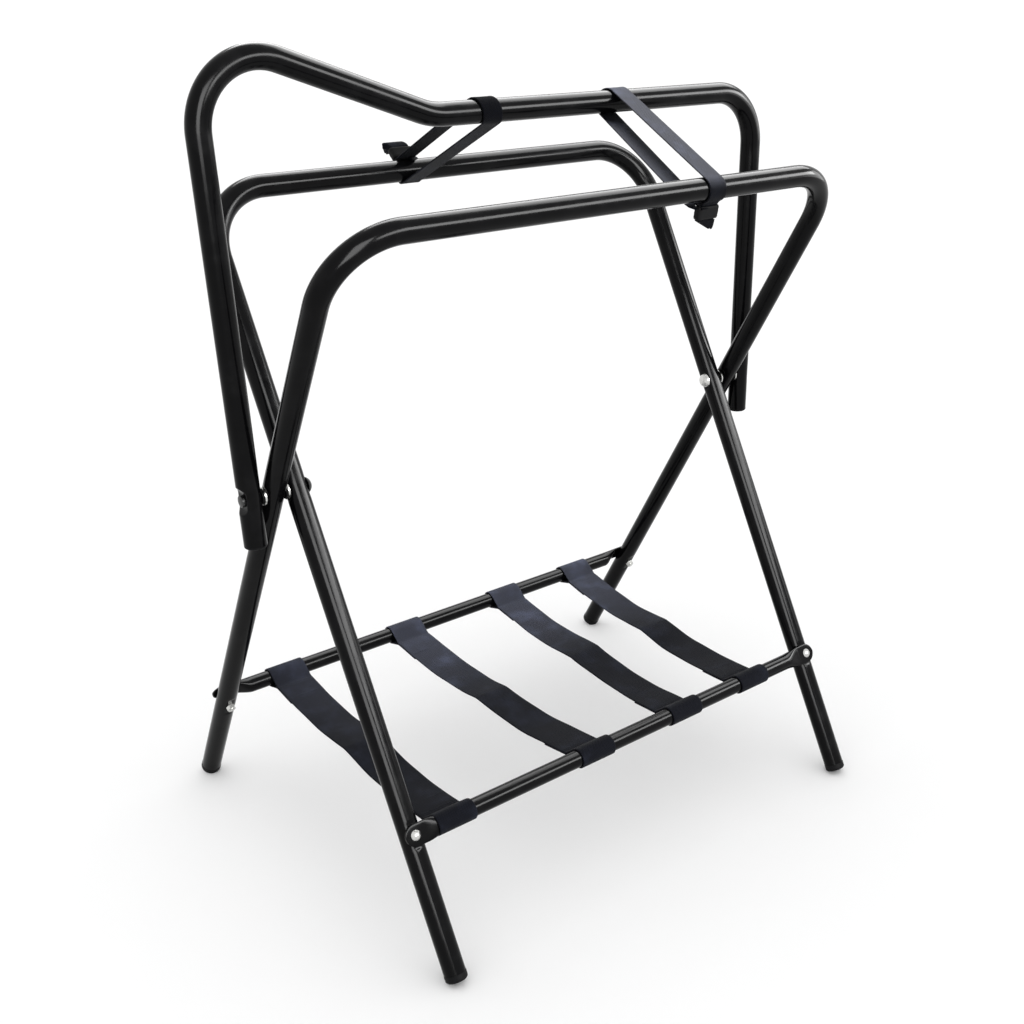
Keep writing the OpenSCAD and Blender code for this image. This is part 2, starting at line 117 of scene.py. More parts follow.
# Stitches: their step and radius, and the share of a step that is free at each end
STITCH_PITCH, STITCH_RADIUS, STITCH_GAP = 3.7 * MM, 0.42 * MM, 0.09

# Stitch rows: two beside the seam, one beside the flap's end, and half their share of the width
NEAR_ROW, FAR_ROW, END_ROW, ROW_HALF = 5 * MM, 9 * MM, 7 * MM, 0.44
SHARP_RIM = math.radians(50)

# Each light's place, target, width and depth, the group that it lights and the spread of its beam
AIM = (0.1, 0, 0.6)
LIGHTS = {
    "strip": ((1.2, -1.75, 1.45), AIM, (3.6, 0.60), "gloss", 180),
    "rim": ((1.4, 1.0, 2.6), AIM, (3.4, 1.60), "gloss", 180),
    "side": ((2.4, -0.9, 1.15), AIM, (1.8, 1.1), "gloss", 180),
    "leg": ((-1.16, -1.80, 1.25), (0.1, -0.1, 0.4), (1.0, 1.6), "gloss", 180),
    "shelf": ((0.15, 0.19, 0.70), (0.15, 0.19, 0.15), (0.75, 0.05), "shelf", 42),
    "tie": ((0.3, 0.3, 2.9), (0.1, 0, 0.85), (1.6, 1.2), "tie", 180),
    "small": ((0.4, -2.2, 1.5), AIM, (2.0, 0.8), "small", 180),
}

# Start of the names and the slots of the pieces in each lit group; the shelf is in the last one too
LIT_GROUPS = {
    "gloss": ("", "black_paint"),
    "shelf": ("shelf_strap", "webbing", "thread"),
    "tie": ("tie_front", "webbing"),
    "small": ("", "plastic", "black_oxide", "zinc"),
}
FLOOR_REACH = 30.0
SENSOR_WIDTH = 36


def scalar(name, default, description, **kind):
    """A property for a number."""
    return FloatProperty(name=name, description=description, default=default, **kind)


def length(name, default, description):
    """A property for a length in metres."""
    return scalar(name, default, description, unit="LENGTH", precision=4)


def angle(name, degrees, description):
    """A property for an angle, given in degrees."""
    return scalar(name, math.radians(degrees), description, subtype="ANGLE")


def watts(name, default, light):
    """A property for the power of a light."""
    return scalar(name, default, f"Power of the {light}, in watts", precision=3)


def colour(name, default, description):
    """A property for a linear colour."""
    return FloatVectorProperty(
        name=name, description=description, default=default, subtype="COLOR", size=3, min=0, max=1
    )


class RackSizes(PropertyGroup):
    """Sizes of the tubes, rails and straps. They are those of the CAD model, apart from the places,
    tails and turns of the tie straps."""

    tube_d: length("Tube diameter", 0.0254, "Outside diameter of the frame tubes")
    rail_d: length("Rail diameter", 0.0206, "Outside diameter of the shelf rails")
    leg_angle: angle("Leg lean", 29.2, "Lean of each leg frame from the vertical")
    leg_len: length("Leg length", 0.55955, "Length of a leg below the pivot axis")
    bar_reach: length("Bar reach", 0.3356, "Pivot axis up to the top bar")
    outer_x: length("Outer legs", 0.3490, "Half the spacing of the outer frame's legs")
    inner_x: length("Inner legs", 0.3214, "Half the spacing of the inner frame's legs")
    leg_bend: length("Leg bend", 0.0760, "Centre-line bend radius of the leg frames")
    spine_x: length("Spine legs", 0.3766, "Half the spacing of the spine's legs at the pivots")
    spine_z: length("Spine height", 0.8730, "Height of the spine's level bar")
    spine_tail: length("Spine tail", 0.0520, "Length of spine leg below the pivot axis")
    pommel_lean: angle("Pommel lean", 1.8, "Outward lean of the spine leg under the pommel loop")
    cantle_lean: angle("Cantle lean", 1.0, "Inward lean of the other spine leg")
    slope_x: length("Slope foot", 0.1260, "Middle to the foot of the pommel slope")
    slope_angle: angle("Slope", 19.3, "Fall of the pommel slope towards the level bar")
    spine_bend: length("Spine bend", 0.0660, "Bend radius of the pommel loop and the far corner")
    slope_bend: length("Slope bend", 0.0900, "Bend radius at the foot of the slope")
    rail_drop: length("Rail drop", 0.4000, "Pivot axis down the leg to the rail")
    rail_offset: length("Rail offset", 0.0090, "Rail axis to its frame's plane")
    tongue_w: length("Tongue width", 0.0250, "Width of the flattened rail end")
    tongue_t: length("Tongue thickness", 0.0030, "Thickness of the flattened rail end")
    shelf_w: length("Shelf webbing", 0.0508, "Width of the shelf straps")
    tie_w: length("Tie webbing", 0.0254, "Width of the tie straps")
    strap_t: length("Webbing thickness", 0.0018, "Thickness of the webbing")
    strap_clear: length("Strap clearance", 0.0005, "Clearance of the straps round the tubes")
    seam_reach: length("Seam reach", 0.0210, "Rail axis to the strap's seam")
    sewn_back: length("Sewn back", 0.0420, "Length of strap sewn back under itself")
    strap_dip: angle("Strap dip", 10.0, "Angle at which a loop points down to its seam")
    strap_sag: length("Strap sag", 0.0070, "Depth of the two sags beside a strap's fold crease")
    rear_tie_x: length("Rear tie", -0.0525, "Distance of the rear tie from the middle")
    front_tie_x: length("Front tie", 0.1370, "Distance of the front tie from the middle")
    rear_tail: length("Rear tail", 0.0440, "Free length of the rear tie's tail")
    front_tail: length("Front tail", 0.0275, "Free length of the front tie's tail")
    rear_tail_angle: angle("Rear tail angle", 40, "Angle of the rear tail above the level")
    front_tail_angle: angle("Front tail angle", -100, "Angle of the front tail above the level")
    rear_swing: angle("Rear tail swing", 55, "Sideways swing of the rear tail's tip")
    front_swing: angle("Front tail swing", 25, "Sideways swing of the front tail's tip")
    rear_droop: angle("Rear tail droop", 90, "Turn of the rear tail's tip towards the bar")
    front_droop: angle("Front tail droop", -8, "Turn of the front tail's tip towards the bar")
    slider_wall: length("Slider wall", 0.0026, "Wall of the strap sliders")
    slider_len: length("Slider length", 0.0150, "Length of the sliders along the tail")


class RackFinishes(PropertyGroup):
    """Colours of the finishes."""

    enamel: colour("Enamel", (0.0005, 0.0005, 0.0006), "Gloss black enamel of the tubes")
    enamel_dust: colour("Enamel dust", (0.0020, 0.0020, 0.0022), "Dust that dulls the enamel")
    yarn: colour("Yarn", (0.0038, 0.0046, 0.0085), "Crowns of the webbing's yarns")
    # Painted shade: the colour that darkens the low gaps between the webbing's yarns
    painted_gap_shade: colour("Yarn shade", (0.0010, 0.0011, 0.0018), "Gaps between the webbing's yarns")
    yarn_worn: colour("Worn yarn", (0.0130, 0.0155, 0.0260), "Rubbed places on the webbing")
    thread: colour("Thread", (0.0036, 0.0041, 0.0054), "Sewing thread of the seams")
    plastic: colour("Plastic", (0.0026, 0.0026, 0.0029), "Moulded caps, washers and sliders")
    oxide: colour("Black oxide", (0.0100, 0.0100, 0.0100), "Blackened bolts")
    zinc: colour("Zinc", (0.62, 0.62, 0.60), "Zinc-plated bolts, nuts and washers")
    zinc_dark: colour("Zinc shade", (0.36, 0.36, 0.35), "Darker grains of the zinc plate")
    floor: colour("Floor", (0.92, 0.92, 0.92), "Pale studio floor")


class RackStage(PropertyGroup):
    """Camera and light of the studio."""

    eye: FloatVectorProperty(
        name="Camera place",
        description="Where the camera stands",
        default=(-0.90950, -1.16935, 1.00880),
        subtype="TRANSLATION",
    )
    heading: angle("Heading", 50.76, "Camera's heading from +X towards +Y")
    pitch: angle("Pitch", -24.71, "Camera's pitch above the horizon")
    roll: angle("Roll", 0.04, "Camera's roll")
    lens: scalar("Lens", 44.44, "Focal length in millimetres on a 36 mm sensor", precision=3)
    shift_x: scalar("Shift across", -0.0400, "Camera shift across the image", precision=3)
    shift_y: scalar("Shift up", 0.0420, "Camera shift up the image", precision=3)
    strip_power: watts("Strip light", 170.0, "long strip before the rack")
    rim_power: watts("Rim light", 180.0, "wide light behind the rack")
    side_power: watts("Side light", 30.0, "soft box at the side")
    leg_power: watts("Leg light", 90.0, "soft box beside the camera")
    shelf_power: watts("Shelf light", 4.0, "narrow beam over the rear rail")
    tie_power: watts("Tie light", 600.0, "soft box over the front tie strap")
    small_power: watts("Fittings light", 70.0, "soft box for fittings and shelf")
    sky: scalar("Room light", 1.16, "Strength of the pale room light", precision=3)


# Surfaces


def unit(vectors):
    """Vectors scaled to a length of one."""
    return vectors / np.linalg.norm(vectors, axis=-1, keepdims=True)


def ease(values, low, high):
    """Smooth step from 0 at low to 1 at high."""
    t = np.clip((values - low) / (high - low), 0, 1)
    return t * t * (3 - 2 * t)


def arc(centre, radius, start, end, count):
    """Points of a flat arc from one angle to another, in radians."""
    turn = np.linspace(start, end, count)
    return np.asarray(centre) + radius * np.stack([np.cos(turn), np.sin(turn)], axis=1)


def tangents(path):
    """Unit directions along a path: the mean of the unit steps before and after each point."""
    steps = unit(np.diff(path, axis=0))
    before = np.concatenate([steps[:1], steps])
    after = np.concatenate([steps, steps[-1:]])
    return unit(before + after)


def travelled(path):
    """Distance along a path at each of its points."""
    steps = np.linalg.norm(np.diff(path, axis=0), axis=1)
    return np.concatenate([[0.0], np.cumsum(steps)])


def even_path(points, step, blur):
    """A polyline resampled at even steps and rounded by a bell-shaped mean of the given width."""
    along = travelled(points)
    count = int(round(along[-1] / step)) + 1
    even = np.linspace(0, along[-1], count)
    path = np.stack([np.interp(even, along, axis) for axis in points.T], axis=1)
    reach = max(1, int(3 * blur / step))
    bell = np.exp(-0.5 * (np.arange(-reach, reach + 1) * step / blur) ** 2)
    before = 2 * path[0] - path[reach:0:-1]
    after = 2 * path[-1] - path[-2 : -reach - 2 : -1]
    padded = np.concatenate([before, path, after])
    return np.stack([np.convolve(axis, bell / bell.sum(), "valid") for axis in padded.T], axis=1)


def straight(start, end, spots, coarse=12 * MM, fine=0.9 * MM, reach=26 * MM):
    """Points of a straight run, close together beside the pressed spots."""
    run = np.linalg.norm(end - start)
    near = [(spot - start) @ (end - start) / run + np.arange(-reach, reach, fine) for spot in spots]
    along = np.sort(np.concatenate([np.arange(0, run, coarse), *near]))
    along = along[(along >= 0) & (along < run - fine / 2)]
    along = along[np.append(True, np.diff(along) > fine / 3)]
    return start + np.outer(np.append(along, run) / run, end - start)


def bent_path(corners, radii, spots=()):
    """Centre line of a bent tube: straight runs between corners, joined by arcs that touch them."""
    corners = [np.asarray(corner, float) for corner in corners]
    runs, start = [], corners[0]
    for before, corner, after, radius in zip(corners, corners[1:], corners[2:], radii):
        u, v = unit(corner - before), unit(after - corner)
        turn = math.atan2(u[0] * v[1] - u[1] * v[0], u @ v)
        touch = corner - u * radius * math.tan(abs(turn) / 2)
        side = math.copysign(1.0, turn)
        centre = touch + radius * side * np.array([-u[1], u[0]])
        first = math.atan2(*(touch - centre)[::-1])
        bend = arc(centre, radius, first, first + turn, max(5, int(abs(turn) / math.radians(2.5))))
        runs += [straight(start, touch, spots)[:-1], bend[:-1]]
        start = bend[-1]
    runs.append(straight(start, corners[-1], spots))
    return np.concatenate(runs)


def tube_rings(path, radius, around=72):
    """Round tube along a path in the XZ plane: the path plus a circle across its direction."""
    ahead = tangents(path)
    across = np.stack([ahead[:, 1], 0 * ahead[:, 0], -ahead[:, 0]], axis=1)
    centre = np.stack([path[:, 0], 0 * path[:, 0], path[:, 1]], axis=1)
    turn = np.linspace(0, 2 * np.pi, around, endpoint=False)
    circle = np.cos(turn)[None, :, None] * across[:, None] + np.sin(turn)[None, :, None] * [0, 1, 0]
    return centre[:, None] + radius * circle


def press(rings, centre, outward, radius, depth, flat, rounding, soft=0.7 * MM):
    """Presses an upright flat into a tube: points near the centre that reach further outward are
    drawn back by a smooth minimum. Past its ends the flat rises along a quarter circle."""
    offset = rings - np.asarray(centre)
    reach = offset @ np.asarray(outward, float)
    past = np.clip(np.abs(offset[..., 2]) - flat / 2, 0, rounding)
    limit = radius - depth + rounding - np.sqrt(rounding**2 - past**2)
    drawn = (reach + limit - np.sqrt((reach - limit) ** 2 + soft**2)) / 2
    close = (past < rounding) & (np.linalg.norm(offset, axis=-1) < 3 * radius)
    moved = np.where(close, np.minimum(drawn - reach, 0), 0)
    return rings + moved[..., None] * np.asarray(outward, float)


def lean(rings, sizes, side):
    """Carries points of an upright frame to its leaning place: side 1 for the outer frame, whose
    top leans to -Y, and -1 for the inner frame, which is its mirror image."""
    c, s = math.cos(sizes.leg_angle), math.sin(sizes.leg_angle)
    x, y, z = np.moveaxis(rings, -1, 0)
    return PIVOT + np.stack([x, side * (y * c - z * s), y * s + z * c], axis=-1)


def leg_frame_rings(sizes, half_x, side):
    """Leg frame: a tube bent into a U, with pressed seats at the pivots and under the rail ends."""
    radius = sizes.tube_d / 2
    spots = [np.array([leg * half_x, z]) for leg in (-1, 1) for z in (0, -sizes.rail_drop)]
    low, top = -sizes.leg_len, sizes.bar_reach
    corners = [(-half_x, low), (-half_x, top), (half_x, top), (half_x, low)]
    rings = tube_rings(bent_path(corners, [sizes.leg_bend] * 2, spots), radius)
    for leg in (-1, 1):
        for way in (-1, 1):
            pivot, rail = (leg * half_x, 0, 0), (leg * half_x, 0, -sizes.rail_drop)
            rings = press(rings, pivot, (way, 0, 0), radius, *WASHER_SEAT)
            rings = press(rings, rail, (0, way, 0), radius, *RAIL_SEAT)
    return lean(rings, sizes, side)


def spine_rings(sizes):
    """Spine: one tube up from a pivot, round the pommel loop, down a slope, level, and down again,
    with a deep dimple outside and a washer seat inside at each pivot."""
    radius, pivot_z = sizes.tube_d / 2, PIVOT[2]
    low = pivot_z - sizes.spine_tail
    lean_out, lean_in = math.tan(sizes.pommel_lean), math.tan(sizes.cantle_lean)
    rise = math.tan(sizes.slope_angle)
    loop_z = sizes.spine_z + rise * (sizes.spine_x - sizes.slope_x - lean_out * pivot_z)
    loop_z /= 1 - rise * lean_out
    left = lambda z: (-sizes.spine_x - (z - pivot_z) * lean_out, z)
    right = lambda z: (sizes.spine_x - (z - pivot_z) * lean_in, z)
    slope_foot = (-sizes.slope_x, sizes.spine_z)
    corners = [left(low), left(loop_z), slope_foot, right(sizes.spine_z), right(low)]
    radii = [sizes.spine_bend, sizes.slope_bend, sizes.spine_bend]
    spots = [np.array([end * sizes.spine_x, pivot_z]) for end in (-1, 1)]
    rings = tube_rings(bent_path(corners, radii, spots), radius)
    for end in (-1, 1):
        pivot = (end * sizes.spine_x, 0, pivot_z)
        rings = press(rings, pivot, (end, 0, 0), radius, *BOLT_DIMPLE)
        rings = press(rings, pivot, (-end, 0, 0), radius, *WASHER_SEAT)
    return rings + [PIVOT[0], 0, 0]


def rail_rings(sizes, half_x, side, around=64):
    """Shelf rail: a round section crushed into a flat round-tipped tongue at each end. Its half
    width and half thickness ease from the tube's radius to the tongue's, its corners fill out, and
    its middle moves to the leg's seat. Past the bolt the width follows the tip's circle."""
    radius, tip = sizes.rail_d / 2, sizes.tongue_w / 2
    seat = sizes.tube_d / 2 - RAIL_SEAT[0]
    crush_start, crush_end = half_x - 40 * MM, half_x - 13 * MM
    crush = np.linspace(half_x - 44 * MM, half_x - 12 * MM, 48)
    tip_turn = np.linspace(-0.7, np.pi / 2 - 0.02, 30)
    ends = np.concatenate([crush, half_x + tip * np.sin(tip_turn)])
    round_run = np.linspace(-1, 1, 40) * (half_x - 48 * MM)
    along = np.concatenate([-ends[::-1], round_run, ends])[:, None]
    crushed = ease(np.abs(along), crush_start, crush_end)
    past = np.clip(np.abs(along) - half_x, 0, tip)
    wide = (radius + (tip - radius) * crushed) * np.sqrt(1 - (past / tip) ** 2)
    thick = radius + (sizes.tongue_t / 2 - radius) * crushed
    middle = sizes.rail_offset + (seat + sizes.tongue_t / 2 - sizes.rail_offset) * crushed
    corner = 1 - 0.62 * crushed
    turn = np.linspace(0, 2 * np.pi, around, endpoint=False)[None]
    filled = lambda wave: np.sign(wave) * np.abs(wave) ** corner
    y = middle + thick * filled(np.sin(turn))
    z = -sizes.rail_drop + wide * filled(np.cos(turn))
    return lean(np.stack(np.broadcast_arrays(along, y, z), axis=-1), sizes, side)


class Strip:
    """A flat webbing strip: a stadium-shaped profile carried along a path, its width kept level."""

    def __init__(self, path, width, thick, up):
        """Sets the path, and at each point the direction of the width and the outward direction,
        which is square to both. Up is 1 or -1 and says which way the outward side faces."""
        self.path, self.width, self.thick = path, width, thick
        ahead = tangents(path)
        self.across = unit(X_AXIS - (ahead @ X_AXIS)[:, None] * ahead)
        self.outward = up * np.cross(self.across, ahead)
        self.along = travelled(path)

    def rings(self, wave=None, flats=17, edge=5):
        """Profile at each point: across the width by a, outward by b, its edges half circles. A
        wave adds a lift outward at each point of the path for each share of the width."""
        half, r = self.width / 2 - self.thick / 2, self.thick / 2
        turn = np.linspace(-np.pi / 2, np.pi / 2, edge + 2)[1:-1]
        flat = np.linspace(-half, half, flats)
        out, lift = r * np.cos(turn), r * np.sin(turn)
        a = np.concatenate([flat, half + out[::-1], flat[::-1], -half - out])
        b = np.concatenate([r + 0 * flat, lift[::-1], -r + 0 * flat, lift])
        raised = b[None] + (0 if wave is None else wave(a[None] / self.width))
        rings = self.path[:, None] + a[None, :, None] * self.across[:, None]
        rings = rings + raised[..., None] * self.outward[:, None]
        uv = np.stack(np.broadcast_arrays(self.along[:, None], a[None]), axis=-1)
        return rings, uv

    def at(self, along):
        """Path point, width and outward directions at distances along the strip."""
        return [
            np.stack([np.interp(along, self.along, axis) for axis in rows.T], axis=-1)
            for rows in (self.path, self.across, self.outward)
        ]


def sag_line(sizes, y, drop):
    """Height of a shelf strap's middle line: two shallow sags with a rounded fold crease between
    them, and the crease itself a little lower than the seams."""
    half = seam_half(sizes)
    seam = rail_place(sizes)[1] - sizes.seam_reach * math.sin(sizes.strap_dip)
    rounding = 0.05
    wave = np.sqrt(np.sin(np.pi * y / half) ** 2 + rounding**2) - rounding
    return seam - sizes.strap_sag * wave - drop * np.cos(np.pi * y / (2 * half)) ** 2


def rail_place(sizes):
    """Distance of a rail's axis from the middle plane, and its height."""
    c, s = math.cos(sizes.leg_angle), math.sin(sizes.leg_angle)
    return (
        sizes.rail_drop * s + sizes.rail_offset * c,
        PIVOT[2] - sizes.rail_drop * c + sizes.rail_offset * s,
    )


def seam_half(sizes):
    """Distance of a shelf strap's seams from the middle plane."""
    return rail_place(sizes)[0] - sizes.seam_reach * math.cos(sizes.strap_dip)


def shelf_half_path(sizes, drop):
    """Half a shelf strap in side view, as distance from the middle and height: along the sag to the
    seam, over and round the rail, back to the seam from below and on under the band to its end."""
    rail, half = np.array(rail_place(sizes)), seam_half(sizes)
    layer = sizes.strap_t
    ring = sizes.rail_d / 2 + sizes.strap_clear + layer / 2
    tip = sizes.seam_reach * (1 + layer / (2 * ring - layer))
    touch = math.acos(ring / tip)
    inward = math.pi + sizes.strap_dip
    seam = half - 2 * MM
    band, flap = np.linspace(0, seam, 90), np.linspace(seam, half - sizes.sewn_back, 24)
    top = np.stack([band, sag_line(sizes, band, drop)], axis=1)
    loop = arc(rail, ring, inward - touch, inward + touch - 2 * math.pi, 60)
    under = np.stack([flap, sag_line(sizes, flap, drop) - layer * 1.02], axis=1)
    return even_path(np.concatenate([top, loop, under]), SHELF_STEP, SHELF_BLUR)


def shelf_half(sizes, ends, side):
    """One half of a shelf strap, from the middle to a rail: side -1 is the front rail, 1 the rear
    one. The strap runs straight from one end's place to the other's between the seams."""
    front, rear, drop = ends
    half = seam_half(sizes)
    flat = shelf_half_path(sizes, drop)
    y = side * flat[:, 0]
    part = np.clip((y + half) / (2 * half), 0, 1)
    x = PIVOT[0] + front + (rear - front) * part
    return Strip(np.stack([x, y, flat[:, 1]], axis=1), sizes.shelf_w, sizes.strap_t, side)


def shelf_wave(strip, sizes, number):
    """Small waves of a shelf strap: low ripples along the band, a slight cup and a slight twist,
    fading out at the seam."""
    half = seam_half(sizes)
    y, band = strip.path[:, 1][:, None], (strip.along < half)[:, None]
    under = (strip.along > strip.along[-1] - sizes.sewn_back + 2 * MM)[:, None]
    fade = (1 - np.clip(np.abs(y) / half, 0, 1) ** 4) * (band | under)
    facing = np.sign(strip.outward[:, 2])[:, None]

    def wave(part):
        # Heights in millimetres, and angles in radians for each metre
        ripple = 0.4 * np.sin(57 * y + 1.9 * number) + 0.25 * np.sin(101 * y + 4.1 * number)
        twist = 1.6 * part * np.sin(24 * y + 2.3 * number)
        cup = 1.8 * (part**2 - 0.08) * np.cos(31 * y + number)
        return MM * (ripple + twist + cup) * fade * facing

    return wave


def bar_place(sizes):
    """Distance of a top bar's axis from the middle plane, and its height."""
    return np.array([
        sizes.bar_reach * math.sin(sizes.leg_angle),
        PIVOT[2] + sizes.bar_reach * math.cos(sizes.leg_angle),
    ])


def tail_hold(sizes):
    """Distance from a tie strap's loop to the outer end of its slider."""
    return sizes.strap_t / 2 + SLIDER_GAP + sizes.slider_len


def tie_ring(sizes):
    """Radius of a tie strap's middle layer where it loops round a tube."""
    return sizes.tube_d / 2 + sizes.strap_clear + sizes.strap_t / 2


def tail_axes(sizes, side, x, tail_angle):
    """Place of a tie strap on a bar's axis, and the ways out along its tail and square to it."""
    y, z = bar_place(sizes)
    out = np.array([0, side * math.cos(tail_angle), math.sin(tail_angle)])
    left = np.array([0, -side * math.sin(tail_angle), math.cos(tail_angle)])
    return np.array([PIVOT[0] + x, side * y, z]), out, left


def swing_tail(points, sizes, side, x, tail, tail_angle, swing, droop):
    """Bends the tail of a tie strap past its slider, first sideways in its own plane and then down.
    Its middle line follows an arc in each, so lengths are kept and the width turns with it."""
    bar, out, left = tail_axes(sizes, side, x, tail_angle)
    hold, thickest = tail_hold(sizes), 8 * MM
    offset = points - bar
    across, lift = offset[..., 0], offset @ left
    free = np.clip(offset @ out - (tie_ring(sizes) + hold), 0, None) * (np.abs(lift) < thickest)
    wide, deep = (tail - hold) / swing, (tail - hold) / droop
    turn = free / wide
    ahead = (wide + across) * np.sin(turn)
    bend = ahead / deep
    shift = (wide + across) * (np.cos(turn) - 1)
    reach = (deep + lift) * np.sin(bend) - free
    sink = (deep + lift) * (np.cos(bend) - 1)
    return points + shift[..., None] * X_AXIS + reach[..., None] * out + sink[..., None] * left


def tie_path(sizes, tail, tail_angle, slack, skew):
    """A tie strap in side view with its sideways place, as distance from the middle plane, height
    and shift: in along the tail, round the bar, up to the spine and round it, down to the bar,
    round it from below and out along the tail. Each tail end is folded back on itself once."""
    spine, bar = np.array([0, sizes.spine_z]), bar_place(sizes)
    layer, ring = sizes.strap_t, tie_ring(sizes)
    hem_gap, tail_start, folded, single = 0.8 * MM, 6 * MM, 1.55, 0.52
    hem = tail - tail_hold(sizes) - hem_gap
    fall = math.atan2(spine[1] - bar[1], bar[0] - spine[0])
    upper, lower = math.pi / 2 - fall, -math.pi / 2 - fall
    out = np.array([math.cos(tail_angle), math.sin(tail_angle)])
    left = np.array([-out[1], out[0]])
    spread = math.radians(24)
    hemmed, plain = np.linspace(tail - hem, tail, 8), np.linspace(tail, tail_start, 14)
    reach = np.concatenate([hemmed, plain])
    offset = layer * np.concatenate([np.full(hemmed.size, folded), np.full(plain.size, single)])
    spine_top, bar_top, spine_low, bar_low, tail_shift = skew

    def tail_layer(way):
        flat = bar + np.outer(ring + reach, out) + way * np.outer(offset, left)
        return np.column_stack([flat, np.full(reach.size, tail_shift)])

    def wrap(centre, radius, start, end, shifts, count):
        turned = arc(centre, radius, start, end, count)
        return np.column_stack([turned, np.linspace(*shifts, count)])

    path = np.concatenate([
        tail_layer(1),
        wrap(bar, ring, tail_angle + spread, upper, (tail_shift, bar_top), 26),
        wrap(spine, ring, upper, upper + math.pi, (spine_top, spine_low), 40),
        wrap(bar, ring + slack, lower, tail_angle - spread, (bar_low, tail_shift), 20),
        tail_layer(-1)[::-1],
    ])
    return even_path(path, TIE_STEP, TIE_BLUR)


def tie_strip(sizes, side, x, *shape):
    """A tie strap at its place: side -1 goes to the front bar, 1 to the rear bar."""
    flat = tie_path(sizes, *shape)
    path = np.stack([PIVOT[0] + x + flat[:, 2], side * flat[:, 0], flat[:, 1]], axis=1)
    return Strip(path, sizes.tie_w, sizes.strap_t, -side)


def slider_rings(sizes, side, x, tail_angle, around=48):
    """Slider: a wall profile with finger grips carried round a flat loop about the doubled tail."""
    bar, out, left = tail_axes(sizes, side, x, tail_angle)
    reach = sizes.tube_d / 2 + sizes.strap_clear + sizes.strap_t + SLIDER_GAP + sizes.slider_len / 2
    centre = bar + reach * out
    half_w = sizes.tie_w / 2 + sizes.slider_wall / 2 + 0.6 * MM
    half_t = sizes.strap_t * 1.1 + sizes.slider_wall / 2
    turn = np.linspace(0, 2 * np.pi, around * 3, endpoint=False)
    squared = lambda wave, power: np.sign(wave) * np.abs(wave) ** power
    loop_w, loop_t = squared(np.cos(turn), 0.22), squared(np.sin(turn), 0.42)
    loop = np.stack([half_w * loop_w, half_t * loop_t], axis=1)
    ahead = unit(np.roll(loop, -1, axis=0) - np.roll(loop, 1, axis=0))
    normal = np.stack([ahead[:, 1], -ahead[:, 0]], axis=1)
    face = np.linspace(0, 2 * np.pi, around, endpoint=False)
    long = sizes.slider_len / 2 * squared(np.cos(face), 0.35)
    deep = sizes.slider_wall / 2 * squared(np.sin(face), 0.5)
    ribs = np.cos(3 * np.pi * long / sizes.slider_len) ** 2
    grip = 0.5 * MM * np.clip(np.sin(face), 0, 1) * ribs
    flat = loop[:, None] + (deep + grip)[None, :, None] * normal[:, None]
    return centre + flat[..., :1] * X_AXIS + flat[..., 1:] * left + long[None, :, None] * out


def stitch_rows(strip, rows):
    """Stitches in rows across a strip, at these distances along it. A stitch is a slim ellipsoid
    half sunk in the webbing, a little shorter than its step. All are made as one array."""
    run = 2 * ROW_HALF * strip.width
    count = int(run / STITCH_PITCH)
    edge, gap = np.linspace(-run / 2, run / 2, count + 1), STITCH_GAP * run / count
    centre, across, up = strip.at(np.repeat(rows, count))
    head, tail = (
        centre + np.tile(spots, len(rows))[:, None] * across + strip.thick / 2 * up
        for spots in (edge[:-1] + gap, edge[1:] - gap)
    )
    middle, half = (head + tail) / 2, (tail - head) / 2
    side = unit(np.cross(up, unit(half)))
    around = np.linspace(0, 2 * np.pi, 7)[:-1][None, :, None, None]
    down = np.linspace(-0.96, 0.96, 6)[:, None, None, None]
    ring = np.cos(around) * side + np.sin(around) * up
    return middle + down * half + STITCH_RADIUS * np.sqrt(1 - down**2) * ring


# Meshes


def turns_outward(rings):
    """True if the rings turn counter-clockwise about the way they advance: quads face outward."""
    ring = rings[0] - rings[0].mean(axis=0)
    area = np.cross(ring, np.roll(ring, -1, axis=0)).sum(axis=0)
    return area @ (rings[1].mean(axis=0) - rings[0].mean(axis=0)) > 0


def grid_faces(rings, loop=False):
    """Faces of a grid of rings, turned outward: quads, and two end faces where it isn't a loop."""
    index = np.arange(rings[..., 0].size).reshape(rings.shape[:2])
    ahead = np.roll(index, -1, axis=0) if loop else index[1:]
    here = index if loop else index[:-1]
    quads = np.stack([here, np.roll(here, -1, 1), np.roll(ahead, -1, 1), ahead], axis=-1)
    ends = [] if loop else [index[0][::-1].tolist(), index[-1].tolist()]
    faces = quads.reshape(-1, 4).tolist() + ends
    return faces if turns_outward(rings) else [face[::-1] for face in faces]


def add_object(name, data):
    """Object at the origin with a mesh, a light or a camera."""
    made = bpy.data.objects.new(name, data)
    bpy.context.scene.collection.objects.link(made)
    return made


def add_mesh(name, points, faces, finish, uv=None):
    """Mesh object, smooth with sharp rims, in a finish and a slot; uv goes into a map."""
    mesh = bpy.data.meshes.new(name)
    mesh.from_pydata(points.reshape(-1, 3).tolist(), [], faces)
    mesh.validate()
    if uv is not None:
        corner = np.empty(len(mesh.loops), np.int32)
        mesh.loops.foreach_get("vertex_index", corner)
        webbing = mesh.uv_layers.new(name="webbing")
        webbing.data.foreach_set("uv", uv.reshape(-1, 2)[corner].ravel())
    mesh.polygons.foreach_set("use_smooth", np.ones(len(mesh.polygons), bool))
    mesh.set_sharp_from_angle(angle=SHARP_RIM)
    mesh.materials.append(finish_for(finish))
    piece = add_object(name, mesh)
    return piece


def add_piece(name, node, rings, slot, uv=None, loop=False):
    """Object from a grid of rings that stands for a CAD node."""
    piece = add_mesh(name, rings, grid_faces(rings, loop), slot, uv)
    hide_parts(node)
    return piece


def add_tube(name, node, body, rings):
    """Enamelled tube that stands for a CAD node and moves with a body."""
    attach(add_piece(name, node, rings, "black_paint"), body)


